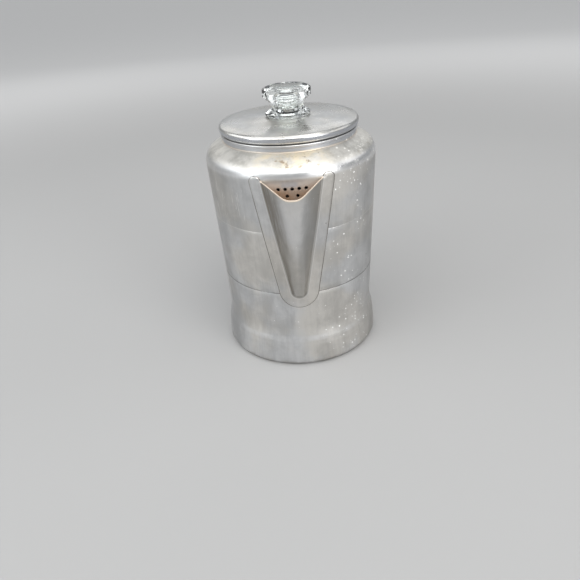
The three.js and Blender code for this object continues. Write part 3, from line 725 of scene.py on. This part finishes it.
def spout_skin(lift, edge_gaps, reach_at_lip):
    """One skin of the spout: its points, faces, outer border, lip and the distances to the crease."""
    steps, across = 72, 22
    flange_parts = tuple(zip((1.085, 1.03, 1.0, 0.965), edge_gaps))
    flange_parts += tuple((part, lift) for part in (0.9, 0.7, 0.45, 0.2))
    tip_reach = 2.6
    points, creases = [], []

    def on_wall(along, z, gap, crease):
        radius = hand_worn(wall_radius(z), z, along / SHOULDER_R) + gap
        angle = along / radius
        points.append((radius * sin(angle), -radius * cos(angle), z))
        creases.append(crease)
        return len(points) - 1

    def flange(side, inner, outer):
        """The flange's points at one level, from its border to just short of its inner end."""
        return [on_wall(side * (inner[0] + (outer[0] - inner[0]) * part),
                        inner[1] + (outer[1] - inner[1]) * part, gap, 21 + FLANGE * part)
                for part, gap in flange_parts]

    rows = []
    for i in range(steps + 1):
        share = i / steps
        half, edge_z = trough_edge(share)
        outer = flange_edge(share)
        left = flange(-1, (half, edge_z), outer)
        right = left if i == 0 else flange(1, (half, edge_z), outer)
        if i == 0:
            rows.append((left, right, [on_wall(0, edge_z, lift, 0)]))
            continue
        rise = (edge_z - TROUGH_TIP_Z) / (TROUGH_TOP_Z - TROUGH_TIP_Z)
        nose_z = TROUGH_TIP_Z + (LIP_Z - TROUGH_TIP_Z) * rise
        radius = hand_worn(wall_radius(edge_z), edge_z, half / SHOULDER_R) + lift
        edge_x, edge_y = radius * sin(half / radius), radius * cos(half / radius)
        reach = tip_reach * min(1.0, rise / 0.035) ** 0.5 + (reach_at_lip - tip_reach) * rise
        nose_y = wall_radius(nose_z) + lift + reach
        nose = min(0.6, NOSE_HALF / half)
        trough = []
        for j in range(2 * across + 1):
            u = j / across - 1
            up = crest(u, nose)
            points.append((edge_x * u, -(edge_y + (nose_y - edge_y) * up),
                           edge_z + (nose_z - edge_z) * up))
            creases.append(min(half * (1 - abs(u)), 20.0))
            trough.append(len(points) - 1)
        rows.append((left, right, trough))

    faces = []

    def strip(low, high):
        for j in range(len(low) - 1):
            corners = tuple(dict.fromkeys((low[j], low[j + 1], high[j + 1], high[j])))
            if len(corners) > 2:
                faces.append(corners)

    for low, high in zip(rows, rows[1:]):
        strip(low[0] + [low[2][0]], high[0] + [high[2][0]])
        strip([low[2][-1]] + low[1][::-1], [high[2][-1]] + high[1][::-1])
        if len(low[2]) > 1:
            strip(low[2], high[2])
    tip, first = rows[0][2][0], rows[1][2]
    faces += [(tip, first[j + 1], first[j]) for j in range(len(first) - 1)]

    def cap(side, last):
        """Rounds off the flange above the trough's corner. Returns its border, inner side first."""
        inner, outer = Vector(trough_edge(1.0)), Vector(flange_edge(1.0))
        centre, half_width = (inner + outer) / 2, (outer - inner) / 2
        upwards = Vector((-half_width.y, half_width.x)).normalized()
        inner_side, outer_side = [], []
        levels = 8
        for k in range(1, levels + 1):
            turn = radians(90) * k / levels
            middle = centre + upwards * (FLANGE_CAP * sin(turn))
            wide = half_width * cos(turn)
            ceiling = edge_gaps[0] + (lift - edge_gaps[0]) * min(1.0, (levels - k) / 2)
            if k == levels:
                row = [on_wall(side * middle.x, middle.y, ceiling, 21 + FLANGE / 2)] * len(last)
            else:
                row = []
                for part, gap in flange_parts + ((0.0, edge_gaps[0]),):
                    at = middle + wide * (2 * part - 1)
                    row.append(on_wall(side * at.x, at.y, min(gap, ceiling), 21 + FLANGE * part))
            strip(last, row)
            last = row
            inner_side.append(row[-1])
            outer_side.append(row[0])
        return inner_side + outer_side[-2::-1]

    top = rows[-1]
    right_cap = cap(1, top[1] + [top[2][-1]])
    left_cap = cap(-1, top[0] + [top[2][0]])
    border = [row[1][0] for row in rows] + right_cap[::-1] + top[2][::-1] + left_cap
    border += [row[0][0] for row in rows[:0:-1]]
    return points, faces, border, top[2], creases


def spout():
    lift = 0.15 + FLANGE_SHEET
    reach = -SPOUT_LOW.y - 0.1 - wall_radius(LIP_Z) - lift
    outer_gaps = (0.05, 0.16, lift - 0.35, lift - 0.06)
    points, faces, border, lip, creases = spout_skin(lift, outer_gaps, reach)
    inner_gaps = (0.0, 0.02, 0.05, 0.05)
    inner_points, inner_faces, _, _, inner_creases = spout_skin(0.12, inner_gaps, reach - 0.5)
    shift = len(points)
    where = np.array(points + inner_points)
    faces = faces + [tuple(i + shift for i in face[::-1]) for face in inner_faces]
    for i, a in enumerate(border):
        b = border[(i + 1) % len(border)]
        faces.append((a, a + shift, b + shift, b))
    mesh = raw_mesh("spout_sheet", where, faces)

    def nearest(indices):
        marks = where[list(indices)]
        return np.min(np.linalg.norm(where[:, None, :] - marks[None, :, :], axis=2), axis=1)

    rim = [i for i in border if i not in set(lip)]
    values = {
        "lip_distance": nearest(lip + [i + shift for i in lip]),
        "crease_distance": np.array(creases + inner_creases),
        "rim_distance": nearest(rim),
        "inner_face": np.array([0.0] * shift + [1.0] * shift),
    }
    for name, data in values.items():
        layer = mesh.attributes.new(name, "FLOAT", "POINT")
        layer.data.foreach_set("value", data.astype(np.float32))
    return shade(new_object("spout_sheet", clean(mesh, dissolve=False)), 40)


# ---------------------------------------------------------------- lid and knob

def lid():
    foot, top, edge = LID_FOOT, LID_TOP, LID_R
    skirt = edge - 5.3
    hole = edge - 53.3
    under = top - 1.0
    outline = rounded([
        (skirt - 0.9, foot + 0.4),
        (skirt - 0.4, foot, 0.35),
        (skirt, foot + 0.8, 0.3),
        (skirt, top - 3.9, 0.8),
        (edge - 3.4, top - 3.5, 0.6),
        (edge - 1.1, top - 5.0, 1.6),
        (edge - 1.5, top - 8.4, 1.2),
        (edge - 3.5, top - 9.6, 0.4),
        (edge - 3.5, top - 10.4, 0.3),
        (edge - 2.0, top - 10.4, 0.9),
        (edge - 0.5, top - 8.2, 2.2),
        (edge, top - 5.2, 2.6),
        (edge - 1.6, top - 2.9, 3.0),
        (edge - 8, top - 1.7, 16),
        (edge * 0.5, top - 0.4, 90),
        (23, top, 10),
        (hole, top, 0.3),
        (hole, under, 0.3),
        (23, under, 10),
        (edge * 0.5, top - 1.4, 90),
        (skirt - 0.9, top - 2.9, 0.8),
        (skirt - 0.9, foot + 0.4),
    ], 7)
    return shade(lathe("lid_sheet", dense(outline, 4.0), 256), 40)


def octagon(angle):
    """Radius of an eight-sided outline, 1 at its corners."""
    from_corner = (angle + pi / 8) % (pi / 4) - pi / 8
    return cos(pi / 8) / cos(abs(abs(from_corner) - pi / 8))


def glass_knob():
    _, top, head = extent("glass_knob")
    seat = LID_TOP + 0.25
    waist = 14.4
    facets_from, facets_full = top - 15.6, top - 11.0
    outline = rounded([
        (0, seat - 6.6),
        (9.4, seat - 6.6, 0.8),
        (10.6, seat - 5.4, 0.8),
        (10.6, seat, 0.2),
        (20.0, seat, 0.9),
        (20.8, seat + 1.2, 0.9),
        (20.3, seat + 3.3, 1.2),
        (waist + 2, top - 19.6, 2.0),
        (waist, top - 17.4, 1.6),
        (waist + 0.3, top - 14.8, 1.4),
        (waist + 1.8, top - 13.6, 1.0),
        (head, top - 8.2, 0.5),
        (head, top - 1.5, 0.5),
        (head - 1.7, top, 0.5),
        (0, top),
    ], 5)

    def faceted(r, z, angle):
        if z < facets_from or r < 12:
            return r
        share = min(1.0, (z - facets_from) / (facets_full - facets_from))
        return r * (1 - share * (1 - octagon(angle)))

    body = lathe("knob_glass", outline, 160, faceted)
    cavity = lathe("cavity", rounded([
        (0, seat - 8), (8.2, seat - 8), (8.2, top - 14, 2), (10.2, top - 11, 2),
        (10.2, top - 7, 2.5), (7, top - 5, 2.5), (0, top - 4.6)], 5), 96)
    for side in (-1, 1):
        low = Vector((-3.4, 11 * side - 2, seat - 4.45))
        high = Vector((3.4, 11 * side + 2, seat - 1.45))
        boolean(body, box_piece("lug", low, high, 0.5), "UNION")
    return shade(boolean(body, cavity), 22)


def box_piece(name, low, high, bevel):
    """A bevelled block between two corners."""
    mesh = bpy.data.meshes.new(name)
    form = bmesh.new()
    bmesh.ops.create_cube(form, size=1.0)
    size = high - low
    for vert in form.verts:
        vert.co = [((low[i] + high[i]) / 2 + vert.co[i] * size[i]) * MM for i in range(3)]
    form.to_mesh(mesh)
    form.free()
    return bevelled(new_object(name, mesh), bevel)


# ---------------------------------------------------------------- pump, basket and spreader

def stem_tube():
    outer, inner = 4.75, 3.8
    low, high, _ = extent("stem_tube")
    outline = rounded([
        (inner, low + 0.2), (inner + 0.3, low, 0.2), (6.6, low, 0.3), (6.6, low + 0.9, 0.3),
        (outer, low + 0.9, 0.3), (outer, low + 60), (outer, low + 150), (outer, high - 0.2, 0.15),
        (inner + 0.3, high, 0.25), (inner, high - 0.6), (inner, low + 150), (inner, low + 0.2)], 4)
    return shade(lathe("pump_tube", outline, 64))


def stem_bell():
    foot, _, radius = extent("stem_bell")
    collar = 5.0
    outline = rounded([
        (radius - 1, foot + 0.3), (radius - 0.5, foot, 0.3), (radius, foot + 0.5, 0.3),
        (radius - 0.4, foot + 6, 5), (radius - 5, foot + 11, 8), (18, foot + 14.5, 10),
        (8.4, foot + 16, 2), (7.0, foot + 18, 2), (6.4, foot + 28, 0.4), (collar, foot + 28, 0.3),
        (collar, foot + 16.4, 0.4), (7.4, foot + 15, 1), (17.6, foot + 13.5, 9),
        (radius - 5.6, foot + 10.2, 7), (radius - 1.4, foot + 5.6, 4), (radius - 1, foot + 0.3)], 6)
    bell = lathe("pump_bell", outline, 128)
    inlets = []
    for k in range(4):
        out = Vector((cos(radians(45 + 90 * k)), sin(radians(45 + 90 * k)), 0))
        inlets.append((out * 26 + Vector((0, 0, foot)), out * 38 + Vector((0, 0, foot)), 2.6))
    return shade(drill(bell, inlets, 24))


def valve_washer():
    """A flat washer with softened edges."""
    inner, edge = 5.2, 0.25
    low, high, outer = extent("valve_washer")
    outline = rounded([(inner, low + edge), (inner + edge, low, edge), (outer, low, edge),
                       (outer, high, edge), (inner, high, edge), (inner, low + edge)], 3)
    return shade(lathe("valve_disc", outline, 96))


def basket_stop():
    low, high, outer = extent("basket_stop")
    outline = rounded([(5.05, low + 0.2), (5.3, low, 0.2), (7.2, low, 0.6), (outer, low + 2.8, 0.8),
                       (outer, high, 0.5), (5.05, high, 0.2), (5.05, low + 0.2)], 4)
    return shade(lathe("basket_collar", outline, 96))


def perforations(rings, low, high, radius):
    """Round holes on rings, each ring (radius, count)."""
    holes = []
    for ring_radius, count in rings:
        for k in range(count):
            angle = 2 * pi * (k + 0.5) / count
            x, y = ring_radius * cos(angle), ring_radius * sin(angle)
            holes.append(((x, y, low), (x, y, high), radius))
    return holes


def basket():
    floor, rim, outer = extent("basket")
    radius = outer - 2.6
    sheet = 0.9
    outline = rounded([
        (6.9, floor + 0.3), (7.2, floor, 0.2), (radius - 0.6, floor, 3.0), (radius, floor + 20),
        (radius, rim - 1.2, 0.7), (radius + 2.4, rim - 1.1, 0.5), (radius + 2.6, rim - 0.1, 0.45),
        (radius - sheet, rim - 0.05, 0.7), (radius - sheet, floor + 20),
        (radius - sheet, floor + sheet, 2.4), (6.9, floor + sheet, 0.2), (6.9, floor + 0.3)], 6)
    shell = lathe("grounds_basket", outline, 144)
    rings = [(11.5, 9), (17.5, 14), (23.5, 20), (29.5, 25), (35.5, 30), (41.5, 35), (47, 40)]
    return shade(drill(shell, perforations(rings, floor - 1, floor + 2, 0.95), 12))


def basket_sleeve():
    low, high, _ = extent("basket_sleeve")
    seat = low + 1.2
    outline = rounded([
        (5.05, low + 0.1), (5.3, low, 0.1), (6.5, low, 0.2), (6.5, seat, 0.1), (9, seat, 0.3),
        (9, seat + 0.8, 0.3), (6.1, seat + 1.2, 0.8), (6.1, high, 0.3), (5.05, high, 0.2),
        (5.05, low + 0.1)], 4)
    return shade(lathe("basket_centre", outline, 64))


def spreader():
    rest, _, radius = extent("spreader")
    outline = rounded([
        (5.05, rest + 3.6), (16, rest + 1.4, 8), (50, rest + 0.2, 6), (54.8, rest, 2),
        (radius, rest, 0.6), (radius, rest + 2.8, 0.35), (radius - 0.9, rest + 2.8, 0.35),
        (radius - 1.2, rest + 1, 0.8), (50, rest + 1.1, 6), (16, rest + 2.3, 8), (8.6, rest + 3.9, 1.5),
        (7, rest + 8, 0.4), (5.05, rest + 8, 0.3), (5.05, rest + 3.6)], 5)
    plate = lathe("water_spreader", outline, 144)
    rings = [(17, 12), (24, 18), (31, 24), (38, 30), (45, 36)]
    return shade(drill(plate, perforations(rings, rest - 1, rest + 5, 1.0), 12))


# ---------------------------------------------------------------- handle

def handle_grip():
    """Moulded grip: a rounded section lofted up the handle, with a waist for the fingers."""
    low, high = corners_mm("handle_grip")
    middle_y, half_y = (low.y + high.y) / 2, (high.y - low.y) / 2
    half_x = (high.x - low.x) / 2
    levels, sides = 60, 64
    corner_power = 0.62
    points, faces = [], []
    for i in range(levels + 1):
        t = i / levels
        size = min(1.0, sin(pi * t) * 9) ** 0.5 if 0 < i < levels else 0.0
        z = low.z + (high.z - low.z) * t
        swell = 0.90 + 0.10 * cos(2 * pi * (t - 0.5)) ** 2
        depth = half_y * (0.86 + 0.14 * sin(pi * t) ** 2)
        lean = (half_y - depth) * 0.45
        for k in range(sides):
            angle = 2 * pi * k / sides
            c, s = cos(angle), sin(angle)
            x = copysign(abs(c) ** corner_power, c) * half_x * swell * size
            y = copysign(abs(s) ** corner_power, s) * depth * size
            points.append((x, middle_y - lean + y, z))
    for i in range(levels):
        for k in range(sides):
            j = (k + 1) % sides
            a, b = i * sides, (i + 1) * sides
            faces.append((a + k, a + j, b + j, b + k))
    grip = new_object("grip_moulding", clean(raw_mesh("grip_moulding", points, faces)))
    cuts = []
    for node in ("handle_screw_upper", "handle_screw_lower"):
        z = middle_z(node)
        head_y = corners_mm(node)[1].y - 2.6
        end = (0, high.y + 6, z)
        cuts += [((0, low.y - 6, z), end, 2.3), ((0, head_y, z), end, 4.4)]
    return shade(drill(grip, cuts, 40), 40)


def refined(node, name, width_mm):
    """A bevelled copy of a flat-sided CAD piece."""
    piece = new_object(name, bpy.data.meshes.new(name))
    form = bmesh.new()
    form.from_mesh(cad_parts[node].data)
    bmesh.ops.remove_doubles(form, verts=form.verts, dist=1e-6)
    bmesh.ops.dissolve_limit(form, angle_limit=radians(1.0), verts=form.verts, edges=form.edges)
    form.to_mesh(piece.data)
    form.free()
    return shade(bevelled(piece, width_mm, 3, 40), 35)


def along_y(node, outline):
    """Turns an outline and lays it down along Y."""
    thing = lathe(node + "_turned", outline, 48)
    thing.data.transform(Matrix.Rotation(radians(-90), 4, "X"))
    return thing


def raised(thing, node):
    """Lifts a piece to the height of its CAD node."""
    thing.data.transform(Matrix.Translation((0, 0, middle_z(node) * MM)))
    return thing


def screw(node):
    low, high = corners_mm(node)
    head = high.y - 2.3
    outline = rounded([(0, low.y), (1.5, low.y, 0.3), (2.0, low.y + 0.6, 0.2), (2.0, head, 0.1),
                       (3.8, head, 0.3), (3.6, head + 1.2, 0.8), (1.6, high.y, 1.5), (0, high.y)], 5)
    thing = along_y(node, outline)
    slot = box_piece("slot", Vector((-5, high.y - 1.1, -0.5)), Vector((5, high.y + 2, 0.5)), 0.05)
    return shade(raised(boolean(thing, slot), node), 35)


def rivet(node):
    low, high = corners_mm(node)
    inside, outside = low.y + 1.4, high.y - 2.0
    outline = rounded([(0, low.y), (2.4, low.y + 0.2, 0.8), (3.2, inside, 0.3), (1.7, inside),
                       (1.7, outside), (3.4, outside, 0.3), (2.8, outside + 1.4, 1.2), (0, high.y)], 5)
    return shade(raised(along_y(node, outline), node), 40)


# ---------------------------------------------------------------- stage, light and camera

def stage():
    bpy.ops.mesh.primitive_plane_add(size=120)
    floor = bpy.context.object
    floor.name = "studio_floor"
    paint = Paint("studio_floor")
    faint = paint.noise(1.2, 3.0)
    paint.colour = paint.mix(faint, (0.385, 0.382, 0.378), (0.415, 0.412, 0.408))
    paint.roughness = 0.75
    # Painted light: the floor is painted lighter from 0.8 m to 2.3 m away from the pot's axis.
    paint.coat((0.77, 0.765, 0.76), paint.ramp(paint.from_axis(), 0.8, 2.3))
    floor.data.materials.append(paint.finish())


def lamp_at(name, kind, at, target, energy, tint):
    """A lamp that the camera doesn't see, aimed at a target."""
    data = bpy.data.lights.new(name, kind)
    data.energy = energy
    data.color = tint
    lamp = new_object(name, data)
    lamp.location = at
    lamp.rotation_euler = (Vector(target) - Vector(at)).to_track_quat("-Z", "Y").to_euler()
    lamp.visible_camera = False
    return data


SUNS = (
    ("right_key", (0.6, -0.85, 1.3), 40, 0.8, (1.0, 0.985, 0.96)),
    ("left_key", (-1.0, -0.5, 1.0), 45, 0.45, (0.97, 0.985, 1.0)),
)
PANELS = (
    ("front_panel", (-0.25, -1.35, 1.45), (1.9, 0.8), 13, (1, 1, 1)),
    ("overhead_panel", (0.0, 0.05, 1.75), (1.8, 1.1), 8, (1, 1, 1)),
    ("back_panel", (0.0, 1.7, 1.15), (2.8, 1.0), 6.5, (1, 1, 1)),
    ("left_panel", (-1.45, 0.1, 0.95), (1.3, 0.8), 4.5, (0.96, 0.98, 1.0)),
    ("right_panel", (1.45, 0.1, 1.05), (1.3, 0.8), 3, (1, 1, 1)),
    ("left_window", (-1.15, -0.75, 0.6), (0.4, 1.0), 3.8, (0.95, 0.98, 1.0)),
    ("right_window", (0.9, -1.0, 0.55), (0.6, 0.9), 6.5, (0.98, 0.99, 1.0)),
)


def lighting():
    """Soft keys from the front right and left, panels for the metal to reflect, and a faint dome."""
    world = bpy.data.worlds.new("studio")
    bpy.context.scene.world = world
    world.use_nodes = True
    background = world.node_tree.nodes["Background"]
    background.inputs["Color"].default_value = (0.92, 0.96, 1.0, 1)
    background.inputs["Strength"].default_value = 0.32
    bpy.context.scene.view_settings.view_transform = "Standard"
    for name, at, width, strength, tint in SUNS:
        lamp_at(name, "SUN", at, (0, 0, 0), strength, tint).angle = radians(width)
    for name, at, size, power, tint in PANELS:
        panel = lamp_at(name, "AREA", at, (0, 0, 0.12), power, tint)
        panel.shape = "RECTANGLE"
        panel.size, panel.size_y = size


def camera():
    data = bpy.data.cameras.new("camera")
    data.sensor_width = 36
    data.lens = 33.90
    data.clip_start, data.clip_end = 0.01, 200
    view = new_object("camera", data)
    azimuth, pitch, roll = radians(1.8), radians(30.59), radians(-4.62)
    ahead = Vector((-sin(azimuth) * cos(pitch), cos(azimuth) * cos(pitch), -sin(pitch)))
    right = Vector((cos(azimuth), sin(azimuth), 0))
    up = right.cross(ahead)
    turned_right = cos(roll) * right + sin(roll) * up
    turned_up = -sin(roll) * right + cos(roll) * up
    place = Matrix((turned_right, turned_up, -ahead)).transposed().to_4x4()
    place.translation = Vector((0.00505, -0.51303, 0.34550))
    view.matrix_world = place
    bpy.context.scene.camera = view


# ---------------------------------------------------------------- assembly

def build():
    inner = inner_material("inner_aluminium", (0.55, 0.53, 0.49), 0.42, 0.45)
    perforated = inner_material("basket_aluminium", (0.58, 0.56, 0.52), 0.40, 0.55)
    rivet_metal = inner_material("rivet_aluminium", (0.62, 0.61, 0.59), 0.36, 0.12)
    steel = steel_material()
    show(pot_body(), "pot", ["pot_body"], pot_material())
    show(spout(), "pot", ["spout"], spout_material())
    show(lid(), "lid", ["lid"], lid_material())
    show(glass_knob(), "knob", ["glass_knob"], glass_material())
    show(stem_tube(), "stem", ["stem_tube"], inner)
    show(stem_bell(), "stem", ["stem_bell"], inner)
    show(basket_stop(), "stem", ["basket_stop"], inner)
    show(valve_washer(), "valve", ["valve_washer"], inner)
    show(basket(), "basket", ["basket"], perforated)
    show(basket_sleeve(), "basket", ["basket_sleeve"], perforated)
    show(spreader(), "spreader", ["spreader"], perforated)
    show(handle_grip(), "pot", ["handle_grip"], phenolic_material())
    for level in ("upper", "lower"):
        bracket, bolt = f"handle_bracket_{level}", f"handle_screw_{level}"
        show(refined(bracket, bracket + "_plate", 0.45), "pot", [bracket], steel)
        show(screw(bolt), "pot", [bolt], steel)
        for end in ("top", "bottom"):
            node = f"rivet_{level}_{end}"
            show(rivet(node), "pot", [node], rivet_metal)


camera()
stage()
lighting()
build()
